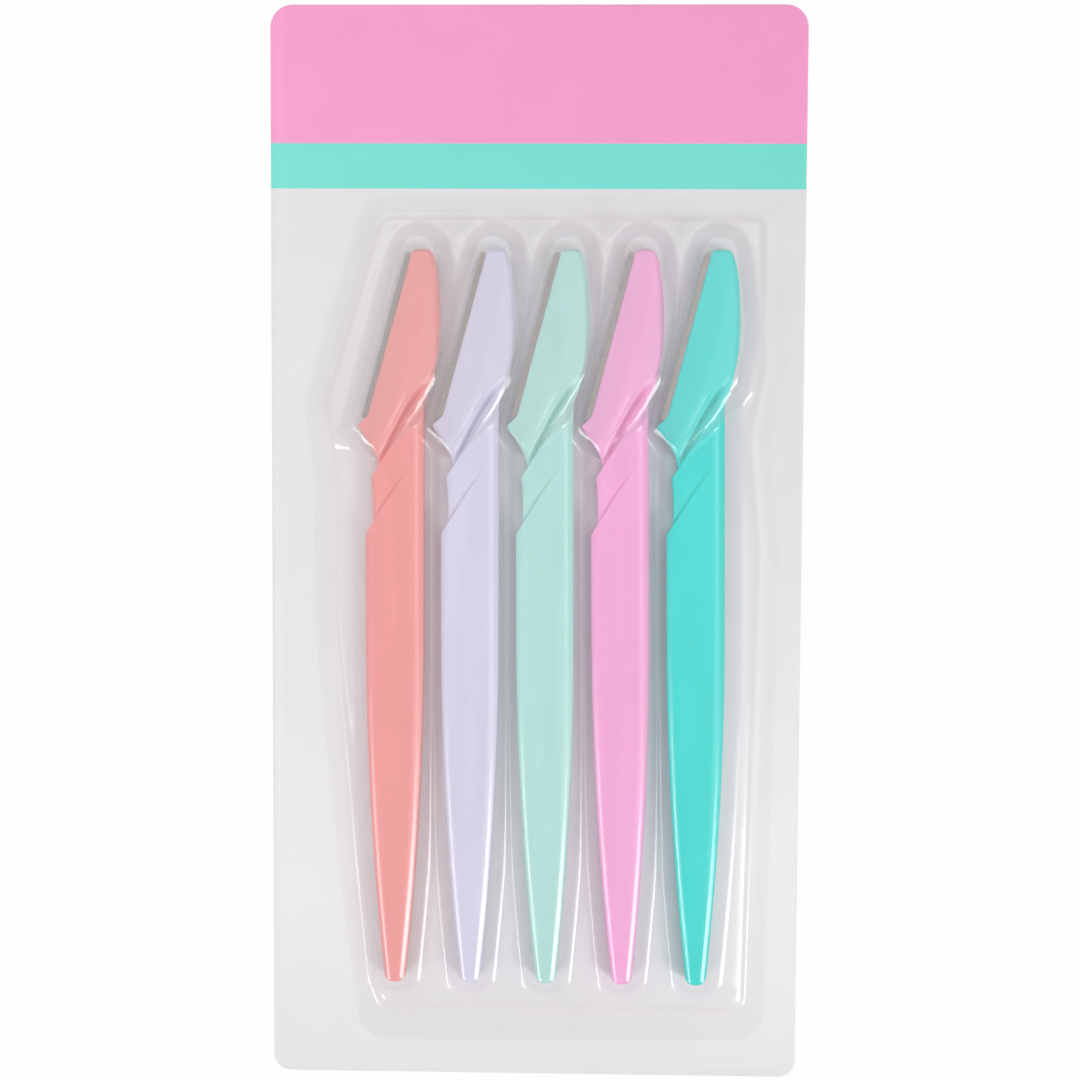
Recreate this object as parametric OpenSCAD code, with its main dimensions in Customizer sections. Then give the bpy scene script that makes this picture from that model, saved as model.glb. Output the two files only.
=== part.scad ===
// Five eyebrow razors on a card, under one clear blister.
// X runs across the card, Y up towards its header and Z out of its printed side.
// The card's back lies on Z = 0, with the card's centre over the origin.

/* [Card] */
// Width of the card
card_w = 108; // [106:1:150]
// Height of the card
card_h = 218.6; // [210:0.2:280]
// Thickness of the card
card_t = 0.5; // [0.3:0.05:1.5]
// Radius of the two corners at the header
header_corner_r = 4.5; // [1:0.5:12]
// Radius of the two corners at the bottom
bottom_corner_r = 3.5; // [1:0.5:12]

/* [Set of razors] */
// Distance from one razor to the next
razor_pitch = 15.25; // [15:0.05:18]
// Distance of the middle razor to the right of the card's centre line
set_shift = 2; // [0:0.5:4]
// Height of the razors' tails above the card's bottom edge
tail_rise = 19.7; // [16:0.1:24]

/* [Handle] */
// Length of one razor from its tail to its tip
razor_l = 150; // [140:1:156]
// Width of the handle where it is widest
handle_w = 11.7; // [9:0.1:12]
// Thickness of the handle
handle_t = 4.4; // [4:0.1:6]
// Width of the tail at the start of its round end
tail_w = 4.2; // [3:0.1:6]
// Length of the parallel part between the lower step's left end and the part that narrows
grip_l = 21; // [5:1:50]
// Width of the bevel along the handle's edges
edge_bevel = 1.2; // [0.4:0.1:1.4]
// Drop of that bevel
edge_drop = 0.8; // [0.3:0.1:1.2]
// Rise of each diagonal step at the neck
neck_step = 0.35; // [0.2:0.05:0.5]
// Angle of the diagonal steps
seam_angle = 56.5; // [45:0.5:65]
// Distance along the handle from the heel down to the upper step
upper_seam_drop = 3.4; // [2:0.1:6]
// Distance along the handle from the upper step down to the lower one
seam_gap = 9.8; // [6:0.1:14]

/* [Head] */
// Length of the head from the heel to the tip
head_l = 35.2; // [32:0.1:38]
// Angle between the cutting edge and the handle
blade_angle = 15.2; // [12:0.1:17]
// How far the heel stands out past the handle
heel_out = 1.95; // [1.5:0.05:2.4]
// How far the back of the head stands out past the handle
back_out = 3.2; // [2:0.1:3.6]
// Width of the flat part of the tip
tip_w = 3.3; // [2.5:0.1:4]
// Width of the flat facet beside the blade
facet_w = 4.4; // [3:0.1:5]
// Rise of the rib above the head's middle plane
rib_rise = 1.5; // [1.2:0.05:1.5]
// Thickness of the plastic over the blade's edge
lip_t = 0.5; // [0.3:0.05:0.8]
// Width of the bevel round the rib
rib_bevel = 1.3; // [0.6:0.1:1.6]

/* [Blade] */
// Thickness of the blade
blade_t = 0.2; // [0.1:0.05:0.3]
// Thickness of the guard
guard_t = 0.15; // [0.1:0.05:0.25]
// How far the cutting edge stands out of the plastic
blade_out = 1.1; // [0.8:0.1:1.4]
// Width of the blade inside the head
blade_in = 3.2; // [2.6:0.1:3.6]
// How far the guard's teeth reach past the cutting edge
tooth_over = 0.15; // [0.1:0.05:0.3]
// Distance from one tooth to the next
tooth_pitch = 0.9; // [0.7:0.1:1.5]
// Width of one tooth
tooth_w = 0.5; // [0.3:0.05:0.6]
// Radius of the two pins that hold the blade
pin_r = 0.7; // [0.5:0.05:0.8]
// Thickness of the cover plate
cover_t = 1.25; // [0.8:0.05:1.3]

/* [Blister] */
// Thickness of the clear sheet
sheet_t = 0.35; // [0.2:0.05:0.5]
// Height of the low step round the pockets
step_h = 1.2; // [0.8:0.1:2]
// Width of the flange outside the step
flange_w = 4.6; // [3:0.1:6]
// Radius of the flange's corners
flange_r = 7; // [3:0.5:10]
// Depth of the pocket's lobe over the head
lobe_h = 7; // [6:0.1:9]
// Gap between the handle's top and the sheet
top_gap = 0.45; // [0.3:0.05:1]
// Distance from the head's outline to the lobe's upper crease
lobe_crease = 0.8; // [0.5:0.1:1.4]
// Distance from the head's outline to the lobe's foot
lobe_foot = 3.9; // [3:0.1:4.2]
// Distance from the handle's outline in to the channel's upper crease
channel_crease = 0.4; // [0.1:0.1:0.6]
// Distance from the handle's outline to the channel's foot
channel_foot = 2.7; // [2:0.1:3.4]
// Extra length of the pocket past the tip
tip_room = 1.5; // [0.8:0.1:2]

/* [Hidden] */

// Fineness of round edges, and of the sheet's rounded corners
$fn = 48;
corner_fn = 32;
// Overrun of every cut, and thickness of the slabs that a hull joins
cut = 1;
slab = 0.04;
// Clearance round what is laid into the head
fit_gap = 0.05;

// Colours of the card, the sheet, the steel and the five razors, from left to right
card_colour = [0.91, 0.91, 0.92];
sheet_colour = [0.85, 0.9, 0.95, 0.25];
steel_colour = [0.7, 0.7, 0.7];
coral = [0.95, 0.62, 0.61];
lavender = [0.85, 0.84, 0.91];
mint = [0.72, 0.89, 0.87];
pink = [0.96, 0.69, 0.86];
teal = [0.29, 0.87, 0.85];
razor_colours = [coral, lavender, mint, pink, teal];
// Small turn of each razor in its pocket, in degrees
razor_turns = [0, 0.15, 0.4, 0.65, 0.6];

// Half widths, and heights along the razor measured from its tail
half_w = handle_w / 2;
heel_y = razor_l - head_l;
seam_slope = tan(seam_angle);
upper_seam_y = heel_y - upper_seam_drop;
lower_seam_y = upper_seam_y - seam_gap;
tail_y = tail_w / 2;
taper_l = lower_seam_y - half_w * seam_slope - grip_l - tail_y;
// Size of the neck: its left side lies further in than the handle's, and the band's in between
neck_in = handle_w * 0.16;
band_in = handle_w * 0.105;
// How far a lower step runs on under the next one
seam_overlap = 3 * edge_bevel;

// Heights of the head's layers above the razor's underside: the blade lies in the middle plane
mid_z = handle_t / 2;
blade_z = mid_z - blade_t / 2;
guard_z = blade_z + blade_t;
roof_z = guard_z + guard_t;
cover_z = blade_z - cover_t;

// The plastic's edge beside the blade runs from edge_start for edge_l, turned by blade_angle
notch_rise = head_l * 0.043;
tip_round = head_l * 0.015;
edge_start = [-half_w + handle_w * 0.013, heel_y + notch_rise];
edge_l = (head_l - notch_rise - tip_round) / cos(blade_angle);
function on_edge(along) = edge_start + along * [sin(blade_angle), cos(blade_angle)];

// Places on the head's outline as shares of head_l, and how blunt the heel's corner is
neck_rise_share = 0.128;
back_top_share = 0.6;
back_pull_share = 0.33;
heel_blunt_share = 0.25;
heel_drop_share = 0.176;

// Point on the curve from a to c that leaves and meets it towards b
function bend(a, b, c, t) = (1 - t) * (1 - t) * a + 2 * (1 - t) * t * b + t * t * c;

// Right side of the head from the neck to the tip, in steps of each of its two curves
function back_curve(steps) =
    let (neck = [half_w, heel_y + neck_rise_share * head_l],
         out = [half_w + back_out, heel_y + back_top_share * head_l],
         tip = [on_edge(edge_l)[0] + tip_w, razor_l])
    concat(
        [for (i = [0 : steps - 1]) bend(neck, [out[0], heel_y + back_pull_share * head_l], out, i / steps)],
        [for (i = [0 : steps]) bend(out, [out[0], razor_l], tip, i / steps)]);

// Head without its heel, down to the upper step and a little on under it
neck_left = -half_w + neck_in;
module head_outline(steps = 8) {
    tip = on_edge(edge_l);
    left_y = upper_seam_y + neck_left * seam_slope - seam_overlap;
    polygon(concat(
        back_curve(steps),
        [[tip[0] + tip_round, razor_l], tip, edge_start, [neck_left, left_y], [half_w, heel_y]]));
}

// Heel below the end of the blade: a notch, a blunt corner, and a slope in to the neck
module heel_outline() {
    heel_x = -half_w - heel_out;
    polygon([
        [neck_left, edge_start[1]],
        edge_start,
        [(edge_start[0] + heel_x) / 2, edge_start[1]],
        [heel_x, heel_y],
        [heel_x + heel_blunt_share * heel_out, heel_y - heel_blunt_share * notch_rise],
        [neck_left, heel_y - heel_drop_share * head_l]]);
}

// Half the handle's width at a height above the tail's end; tail_y is the height of the round end
function half_at(y) =
    let (share = max(0, 1 - (y - tail_y) / taper_l))
    tail_y + (half_w - tail_y) * (1 - share * share);

// Grip from the lower step to the round end of the tail
module grip_outline(steps = 12) {
    side = [for (i = [0 : steps]) tail_y + i / steps * taper_l];
    tail = [for (angle = [210 : 30 : 330]) tail_y * [cos(angle), 1 + sin(angle)]];
    polygon(concat(
        tail,
        [for (y = side) [half_at(y), y]],
        [[half_w, lower_seam_y + half_w * seam_slope], [-half_w, lower_seam_y - half_w * seam_slope]],
        [for (i = [steps : -1 : 0]) [-half_at(side[i]), side[i]]]));
}

// Band between the two diagonal steps, which runs on under the grip
module band_outline() {
    left = -half_w + band_in;
    polygon([
        [left, lower_seam_y + left * seam_slope - seam_overlap],
        [half_w, lower_seam_y + left * seam_slope - seam_overlap],
        [half_w, upper_seam_y + half_w * seam_slope],
        [left, upper_seam_y + left * seam_slope]]);
}

// Flat bar with bevelled edges between two heights, over an outline
module bevelled(low, high) {
    hull() {
        translate([0, 0, low]) linear_extrude(slab) offset(delta = -edge_bevel) children();
        translate([0, 0, low + edge_drop]) linear_extrude(high - low - 2 * edge_drop) children();
        translate([0, 0, high - slab]) linear_extrude(slab) offset(delta = -edge_bevel) children();
    }
}

// Places flat work in the blade's own frame: X into the head, Y along the edge from heel to tip
module blade_frame() {
    translate(edge_start) rotate(-blade_angle) children();
}

// Places of the two pins that the blade, the guard and the cover share
pin_in = blade_in * 0.56;
pin_end = edge_l * 0.18;
module pins(grow = 0) {
    blade_frame() for (along = [pin_end, edge_l - pin_end]) translate([pin_in, along]) circle(pin_r + grow);
}

// Flat outline of the blade, with its inner corner cut off at the tip
blade_end = edge_l * 0.02;
module blade_outline(grow = 0) {
    blade_frame() polygon([
        [-blade_out - grow, blade_end - grow],
        [blade_in + grow, blade_end - grow],
        [blade_in + grow, edge_l - blade_in + grow],
        [0, edge_l - blade_end + grow],
        [-blade_out - grow, edge_l - blade_end + grow]]);
}

// Flat outline of the cover plate, which narrows with the head
cover_end = edge_l * 0.06;
cover_heel_w = half_w * 1.05;
cover_tip_w = blade_in + pin_r / 2;
module cover_outline(grow = 0) {
    blade_frame() polygon([
        [-grow, cover_end - grow],
        [cover_heel_w + grow, cover_end - grow],
        [cover_tip_w + grow, edge_l - cover_end + grow],
        [-grow, edge_l - cover_end + grow]]);
}

// Two shallow grooves across the foot of the head, side by side with the upper step
groove_r = neck_in * 0.4;
groove_l = half_w * 1.2;
groove_pitch = groove_r * 2.5;
groove_z = mid_z + rib_rise + groove_r * 0.6;
module foot_grooves() {
    for (i = [1, 2])
        translate([-half_w * 0.05, upper_seam_y, groove_z]) rotate(seam_angle)
            translate([-groove_l / 2, i * groove_pitch, 0])
                rotate([0, 90, 0]) cylinder(h = groove_l, r = groove_r);
}

// Moulding of one razor: grip, neck band, heel, and the head with its room for the blade and cover
module handle() {
    bevelled(0, handle_t) grip_outline();
    bevelled(neck_step, handle_t - neck_step) band_outline();
    // Upper half of the head: a facet that slopes up from the blade to the rib
    difference() {
        hull() {
            translate([0, 0, roof_z]) linear_extrude(lip_t) head_outline();
            translate([0, 0, mid_z + rib_rise - slab]) linear_extrude(slab) intersection() {
                offset(delta = -rib_bevel) head_outline();
                blade_frame() translate([facet_w, -razor_l]) square(2 * razor_l);
            }
        }
        foot_grooves();
    }
    // Heel, as thick as the head beside the blade
    translate([0, 0, cover_z]) linear_extrude(roof_z + lip_t - cover_z) heel_outline();
    // Lower half of the head, round the cover and the blade
    translate([0, 0, cover_z]) linear_extrude(blade_z - cover_z) difference() {
        head_outline();
        cover_outline(fit_gap);
        blade_frame() translate([-razor_l, cover_end - fit_gap]) square([razor_l, edge_l + cut]);
    }
    translate([0, 0, blade_z]) linear_extrude(roof_z - blade_z) difference() {
        head_outline();
        blade_outline(fit_gap);
    }
    translate([0, 0, cover_z]) linear_extrude(roof_z - cover_z + slab) pins();
}

module blade() {
    translate([0, 0, blade_z]) linear_extrude(blade_t) difference() {
        blade_outline();
        pins(fit_gap);
    }
}

module guard() {
    comb_l = edge_l - 2 * blade_end;
    teeth = floor((comb_l - tooth_w) / tooth_pitch);
    translate([0, 0, guard_z]) linear_extrude(guard_t) difference() {
        union() {
            intersection() {
                blade_outline();
                blade_frame() square([blade_in, edge_l]);
            }
            blade_frame() for (i = [0 : teeth])
                translate([-blade_out - tooth_over, blade_end + i * tooth_pitch])
                    square([blade_out + tooth_over + slab, tooth_w]);
        }
        pins(fit_gap);
    }
}

module blade_cover() {
    translate([0, 0, cover_z]) linear_extrude(cover_t) difference() {
        cover_outline();
        pins(fit_gap);
    }
}

// Place of one razor on the card: each turns a little about its own middle
set_y = -card_h / 2 + tail_rise;
module at_razor(i) {
    translate([set_shift + (i - 2) * razor_pitch, set_y + razor_l / 2, 0])
        rotate(razor_turns[i]) translate([0, -razor_l / 2, 0]) children();
}

module razor_handle(i) {
    color(razor_colours[i]) at_razor(i) translate([0, 0, card_t]) handle();
}
module razor_blade(i) {
    color(steel_colour) at_razor(i) translate([0, 0, card_t]) blade();
}
module razor_guard(i) {
    color(steel_colour) at_razor(i) translate([0, 0, card_t]) guard();
}
module razor_cover(i) {
    color(razor_colours[i]) at_razor(i) translate([0, 0, card_t]) blade_cover();
}

// Card with two pairs of round corners
module backing_card() {
    color(card_colour) linear_extrude(card_t) union() {
        card_half(header_corner_r, 1);
        card_half(bottom_corner_r, -1);
    }
}
module card_half(r, side) {
    reach = card_h / 2 - r;
    for (x = [-1, 1]) translate([x * (card_w / 2 - r), side * reach]) circle(r);
    translate([-card_w / 2, side > 0 ? 0 : -reach]) square([card_w, reach]);
    translate([-card_w / 2 + r, side > 0 ? 0 : -card_h / 2]) square([card_w - 2 * r, card_h / 2]);
}

// Corners of the flange from the set's middle: shares of half the set's width and half a razor's length
set_half_w = 2 * razor_pitch + half_w;
flange_shares = [
    [-1.005, 1.147], [-1.36, 0.595], [-1.302, 0.408], [-1.3, -0.005], [-1.168, -0.672], [-1.04, -1.17],
    [1.245, -1.165], [1.276, -0.565], [1.306, 0.195], [1.25, 0.495], [1.325, 0.675], [1.32, 1.147]];
module flange_outline() {
    translate([set_shift, set_y + razor_l / 2])
        offset(r = flange_r, $fn = corner_fn) offset(delta = -flange_r)
            polygon([for (p = flange_shares) [p[0] * set_half_w, p[1] * razor_l / 2]]);
}

// Height of the step's top, and tops of the channel and the lobe, all on the outside of the sheet
step_z = card_t + step_h + sheet_t;
channel_z = card_t + handle_t + top_gap + sheet_t;
lobe_z = card_t + lobe_h + sheet_t;
// Share of a pocket's height and of its slope that the rounded shoulder takes
shoulder_share = 0.14;
shoulder_run_share = 0.2;

// One pocket over an outline: it leans in from its foot to a rounded shoulder and a flat top
module pocket(top, crease, foot, inset) {
    rise = top - step_z;
    run = foot - crease;
    hull() {
        translate([0, 0, card_t + sheet_t - inset]) linear_extrude(step_z - card_t - sheet_t)
            offset(r = foot - inset, $fn = corner_fn) children();
        translate([0, 0, top - shoulder_share * rise - inset]) linear_extrude(slab)
            offset(r = crease + shoulder_run_share * run - inset, $fn = corner_fn) children();
        translate([0, 0, top - slab - inset]) linear_extrude(slab)
            offset(r = crease - shoulder_run_share * run / 2 - inset, $fn = corner_fn) children();
    }
}

// Outline that the lobe covers: the head down to the heel's foot, its blade, and room past the tip
module lobe_outline() {
    foot_y = heel_y - heel_drop_share * head_l;
    hull() {
        intersection() {
            head_outline(3);
            translate([-razor_l, foot_y]) square(2 * razor_l);
        }
        heel_outline();
        blade_outline();
        translate([0, tip_room]) intersection() {
            head_outline(3);
            translate([-razor_l, razor_l - head_l / 3]) square([2 * razor_l, head_l]);
        }
    }
}

// Outline that the channel covers: the grip and the band up to the head
module channel_outline() {
    hull() {
        grip_outline(6);
        band_outline();
    }
}

// All the raised work of the sheet: the outside with inset 0, the inside with inset sheet_t
module raised(inset) {
    low = inset > 0 ? card_t - cut : card_t;
    translate([0, 0, low]) linear_extrude(step_z - inset - low)
        offset(delta = -flange_w - inset) flange_outline();
    for (i = [0 : 4]) at_razor(i) {
        pocket(channel_z, -channel_crease, channel_foot, inset) channel_outline();
        pocket(lobe_z, lobe_crease, lobe_foot, inset) lobe_outline();
    }
}

module blister_shell() {
    color(sheet_colour) difference() {
        union() {
            translate([0, 0, card_t]) linear_extrude(sheet_t) flange_outline();
            raised(0);
        }
        raised(sheet_t);
    }
}

backing_card();
blister_shell();
razor_handle(0);  // coral_handle
razor_blade(0);  // coral_blade
razor_guard(0);  // coral_guard
razor_cover(0);  // coral_blade_cover
razor_handle(1);  // lavender_handle
razor_blade(1);  // lavender_blade
razor_guard(1);  // lavender_guard
razor_cover(1);  // lavender_blade_cover
razor_handle(2);  // mint_handle
razor_blade(2);  // mint_blade
razor_guard(2);  // mint_guard
razor_cover(2);  // mint_blade_cover
razor_handle(3);  // pink_handle
razor_blade(3);  // pink_blade
razor_guard(3);  // pink_guard
razor_cover(3);  // pink_blade_cover
razor_handle(4);  // teal_handle
razor_blade(4);  // teal_blade
razor_guard(4);  // teal_guard
razor_cover(4);  // teal_blade_cover
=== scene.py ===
import math

import bmesh
import bpy
import numpy as np
from mathutils import Matrix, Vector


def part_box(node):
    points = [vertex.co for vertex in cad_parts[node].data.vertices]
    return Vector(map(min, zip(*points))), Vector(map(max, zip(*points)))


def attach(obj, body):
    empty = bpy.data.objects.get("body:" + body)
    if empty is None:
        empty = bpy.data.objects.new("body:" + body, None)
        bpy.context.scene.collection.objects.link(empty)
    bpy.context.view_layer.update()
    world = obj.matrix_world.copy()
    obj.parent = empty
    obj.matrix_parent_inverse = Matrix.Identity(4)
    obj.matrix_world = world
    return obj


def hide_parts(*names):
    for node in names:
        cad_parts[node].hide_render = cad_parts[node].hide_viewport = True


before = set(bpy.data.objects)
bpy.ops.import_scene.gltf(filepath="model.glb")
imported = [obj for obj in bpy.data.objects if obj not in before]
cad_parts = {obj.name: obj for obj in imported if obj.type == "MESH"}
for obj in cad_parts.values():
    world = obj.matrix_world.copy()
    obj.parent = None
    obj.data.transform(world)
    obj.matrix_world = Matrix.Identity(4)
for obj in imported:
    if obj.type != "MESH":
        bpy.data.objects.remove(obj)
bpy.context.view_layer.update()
scene = bpy.context.scene


# Backing card
# One sheet of white board, printed on its front with a pink header and a narrower teal band,
# and varnished. It is die cut with round corners, so its edges and back show the bare board.
# Sizes are in millimetres all through this script, in the frame's own axes.
MM = 0.001
card_low, card_high = [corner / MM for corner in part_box("backing_card")]
card_t = card_high.z
header_corner_r = 4.5
bottom_corner_r = 3.5
corner_steps = 10
pressed_edge = 0.09
header_low_y = 81.75
band_low_y = 72.7
header_pink = (250, 161, 209)
band_teal = (121, 227, 214)
card_white = (230, 228, 231)
board_grey = (214, 209, 201)


def linear(rgb):
    """Linear colour of an sRGB one given as 0 to 255."""
    return [((c / 255 + 0.055) / 1.055) ** 2.4 for c in rgb] + [1.0]


def new_material(name):
    """A material with its nodes, its links and its surface shader."""
    material = bpy.data.materials.new(name)
    material.use_nodes = True
    nodes = material.node_tree.nodes
    return material, nodes, material.node_tree.links, nodes["Principled BSDF"]


def place_node(nodes, links, scale=(1, 1, 1), angle=0.0):
    """Object coordinates in millimetres, stretched and turned about Z for a pattern."""
    spot = nodes.new("ShaderNodeTexCoord")
    mapping = nodes.new("ShaderNodeMapping")
    mapping.inputs["Rotation"].default_value = (0, 0, angle)
    mapping.inputs["Scale"].default_value = [s / MM for s in scale]
    links.new(spot.outputs["Object"], mapping.inputs["Vector"])
    return mapping.outputs["Vector"]


def noise_node(nodes, links, vector, scale, detail=3.0):
    """Noise with one blotch for each 1 / scale millimetres."""
    noise = nodes.new("ShaderNodeTexNoise")
    noise.inputs["Scale"].default_value = scale
    noise.inputs["Detail"].default_value = detail
    links.new(vector, noise.inputs["Vector"])
    return noise.outputs["Fac"]


def range_node(nodes, links, value, low, high):
    """The middle of a noise, spread between two values."""
    spread = nodes.new("ShaderNodeMapRange")
    spread.inputs["From Min"].default_value = 0.3
    spread.inputs["From Max"].default_value = 0.7
    spread.inputs["To Min"].default_value = low
    spread.inputs["To Max"].default_value = high
    links.new(value, spread.inputs["Value"])
    return spread.outputs["Result"]


def math_node(nodes, links, operation, value, other):
    """One sum on a value, with a fixed number or another node's output."""
    step = nodes.new("ShaderNodeMath")
    step.operation = operation
    links.new(value, step.inputs[0])
    if isinstance(other, bpy.types.NodeSocket):
        links.new(other, step.inputs[1])
    else:
        step.inputs[1].default_value = other
    return step.outputs["Value"]


def mix_node(nodes, links, factor, first, second, blend="MIX"):
    """Colour mixed by a factor. Each colour is a fixed one or another node's output."""
    mix = nodes.new("ShaderNodeMix")
    mix.data_type = "RGBA"
    mix.blend_type = blend
    links.new(factor, mix.inputs["Factor"])
    for value, socket in ((first, mix.inputs[6]), (second, mix.inputs[7])):
        if isinstance(value, bpy.types.NodeSocket):
            links.new(value, socket)
        else:
            socket.default_value = value
    return mix.outputs[2]


def bump_node(nodes, links, height, strength, depth):
    """Bump from a height, with its depth in millimetres."""
    bump = nodes.new("ShaderNodeBump")
    bump.inputs["Strength"].default_value = strength
    bump.inputs["Distance"].default_value = depth * MM
    links.new(height, bump.inputs["Height"])
    return bump.outputs["Normal"]


def printed_board():
    """Three printed fields on the front, bare fibrous board on the edges and the back."""
    material, nodes, links, surface = new_material("printed_board")
    vector = place_node(nodes, links)
    axes = nodes.new("ShaderNodeSeparateXYZ")
    links.new(vector, axes.inputs["Vector"])
    in_band = math_node(nodes, links, "GREATER_THAN", axes.outputs["Y"], band_low_y)
    in_header = math_node(nodes, links, "GREATER_THAN", axes.outputs["Y"], header_low_y)
    on_front = math_node(nodes, links, "GREATER_THAN", axes.outputs["Z"], card_t - pressed_edge * 0.6)
    ink = mix_node(nodes, links, in_band, linear(card_white), linear(band_teal))
    ink = mix_node(nodes, links, in_header, ink, linear(header_pink))
    fibre = noise_node(nodes, links, place_node(nodes, links, (1, 2.2, 1)), 2.4, 6.0)
    bare = mix_node(nodes, links, fibre, linear(board_grey), linear(card_white))
    colour = mix_node(nodes, links, on_front, bare, ink)
    mottle = range_node(nodes, links, noise_node(nodes, links, vector, 0.09), 0.975, 1.0)
    shade = nodes.new("ShaderNodeVectorMath")
    shade.operation = "SCALE"
    links.new(colour, shade.inputs[0])
    links.new(mottle, shade.inputs["Scale"])
    links.new(shade.outputs["Vector"], surface.inputs["Base Color"])
    grain = noise_node(nodes, links, vector, 3.5, 5.0)
    rough = range_node(nodes, links, grain, 0.38, 0.5)
    links.new(rough, surface.inputs["Roughness"])
    links.new(bump_node(nodes, links, grain, 0.25, 0.02), surface.inputs["Normal"])
    return material


def ring_faces(rings, points, closed=True):
    """Quads between rings that have the same number of points each."""
    faces = []
    for ring in range(rings - 1):
        for point in range(points if closed else points - 1):
            start = ring * points + point
            after = ring * points + (point + 1) % points
            faces.append((start, after, after + points, start + points))
    return faces


def smoothed(mesh, sharp):
    """The mesh with smooth shading, but for edges sharper than the angle."""
    mesh.shade_smooth()
    mesh.set_sharp_from_angle(angle=math.radians(sharp))
    return mesh


def mesh_of(name, points, faces, sharp=32):
    """A closed mesh in metres from points in millimetres, with its faces turned outwards."""
    mesh = bpy.data.meshes.new(name)
    mesh.from_pydata((np.asarray(points) * MM).tolist(), [], faces)
    shape = bmesh.new()
    shape.from_mesh(mesh)
    bmesh.ops.recalc_face_normals(shape, faces=shape.faces)
    shape.to_mesh(mesh)
    shape.free()
    return smoothed(mesh, sharp)


def add_piece(name, mesh, material, body, slot, *nodes):
    """Puts a finished mesh into the scene, on its body, in place of its CAD nodes."""
    mesh.materials.clear()
    mesh.materials.append(material)
    piece = bpy.data.objects.new(name, mesh)
    scene.collection.objects.link(piece)
    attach(piece, body)
    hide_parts(*nodes)
    return piece


def card_outline(inset):
    """Outline of the card, drawn in by the inset, from its lower right corner and round to the left."""
    outline = []
    corners = ((1, -1, bottom_corner_r), (1, 1, header_corner_r),
               (-1, 1, header_corner_r), (-1, -1, bottom_corner_r))
    for quarter, (side, end, radius) in enumerate(corners):
        for step in range(corner_steps + 1):
            turn = math.radians(90 * (quarter - 1 + step / corner_steps))
            outline.append((side * (card_high.x - radius) + (radius - inset) * math.cos(turn),
                            end * (card_high.y - radius) + (radius - inset) * math.sin(turn)))
    return outline


card_levels = ((pressed_edge, 0), (0, pressed_edge), (0, card_t - pressed_edge), (pressed_edge, card_t))
card_points = []
for inset, height in card_levels:
    card_points += [(x, y, height) for x, y in card_outline(inset)]
around = len(card_points) // len(card_levels)
card_faces = ring_faces(len(card_levels), around)
card_faces += [tuple(range(around)), tuple(range(3 * around, 4 * around))]
add_piece("printed_card", mesh_of("printed_card", card_points, card_faces, 50), printed_board(),
          "card", "card", "backing_card")


# Razor handles
# Each handle is one moulding of satin plastic: a flat bevelled grip that narrows to a round tail,
# a neck with two diagonal steps, a heel, and a head with a facet beside the blade and a bowed rib.
# The underside of the head is open for the blade and its cover, which two moulded pins hold.
razor_names = ("coral", "lavender", "mint", "pink", "teal")
razor_colours = ((242, 158, 155), (217, 214, 235), (181, 227, 220), (247, 172, 219), (30, 221, 214))
razor_turns = (0, 0.15, 0.4, 0.65, 0.6)
razor_pitch = 15.25
set_shift = 2.0
set_y = card_low.y + 19.7
razor_l = 150.0
half_w = 5.85
handle_t = 4.4
tail_start = 0.4
tail_half = 2.1
tail_end = 1.6
taper_l = 69.7
edge_bevel = 1.3
edge_drop = 0.75
neck_step = 0.42
seam_slope = math.tan(math.radians(56.5))
lower_seam = 101.6
upper_seam = 111.4
heel_row = 121.9
heel_slope = 0.95
heel = (-7.85, 114.4)
neck = (-3.55, 106.6)
blade_turn = math.radians(15.2)
edge_start = np.array((-5.7, 116.3))
edge_l = 34.4
blade_out = 1.1
blade_in = 3.2
blade_end_in = 0.35
blade_low = edge_l * 0.02
blade_high = edge_l * 0.995
cover_low = edge_l * 0.06
cover_high = edge_l * 0.94
cover_z = 0.85
blade_z = 2.1
guard_z = 2.3
roof_z = 2.45
rib_fall = 0.17
rib_start = 5.45
rib_middle = 17.5
rib_bow = 0.0062
heel_groove = ((2.9, 121.6), (-1.7, 112.7), 0.45, 0.3)
valley_depth = 0.85
lip_z = 2.87
crest_z = 4.0
side_round = 0.9
rim_round = 1.1
tip_r = 0.8
band_half = 4.45
band_bow = 0.33
fit_gap = 0.05


def ease(value, low, high):
    """0 below low and 1 above high, with a smooth change between."""
    share = np.clip((value - low) / (high - low), 0, 1)
    return share * share * (3 - 2 * share)


def soft_min(a, b, blend):
    """The lower of two heights, rounded where they meet over about the blend."""
    share = np.maximum(blend - np.abs(a - b), 0) / blend
    return np.minimum(a, b) - share * share * blend / 4


def soft_max(a, b, blend):
    """The higher of two heights, rounded where they meet over about the blend."""
    return -soft_min(-np.asarray(a), -np.asarray(b), blend)


def bend(a, b, c, t):
    """Point on the curve from a to c that leaves and meets it towards b."""
    return (1 - t) ** 2 * np.array(a) + 2 * t * (1 - t) * np.array(b) + t * t * np.array(c)


def to_blade(x, y):
    """Places across and along the cutting edge, measured from the edge's lower end."""
    across = (x - edge_start[0]) * math.cos(blade_turn) - (y - edge_start[1]) * math.sin(blade_turn)
    along = (x - edge_start[0]) * math.sin(blade_turn) + (y - edge_start[1]) * math.cos(blade_turn)
    return across, along


def from_blade(across, along):
    """The razor's own X and Y of a place across and along the cutting edge."""
    return (edge_start[0] + across * math.cos(blade_turn) + along * math.sin(blade_turn),
            edge_start[1] - across * math.sin(blade_turn) + along * math.cos(blade_turn))


back_points = [bend((half_w, 119.3), (9.05, 126.2), (9.05, 135.9), t) for t in np.linspace(0, 1, 30)]
back_points += [bend((9.05, 135.9), (9.0, 149.9), (6.3, razor_l), t) for t in np.linspace(0, 1, 60)[1:]]
back_points = np.array(back_points)


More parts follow.
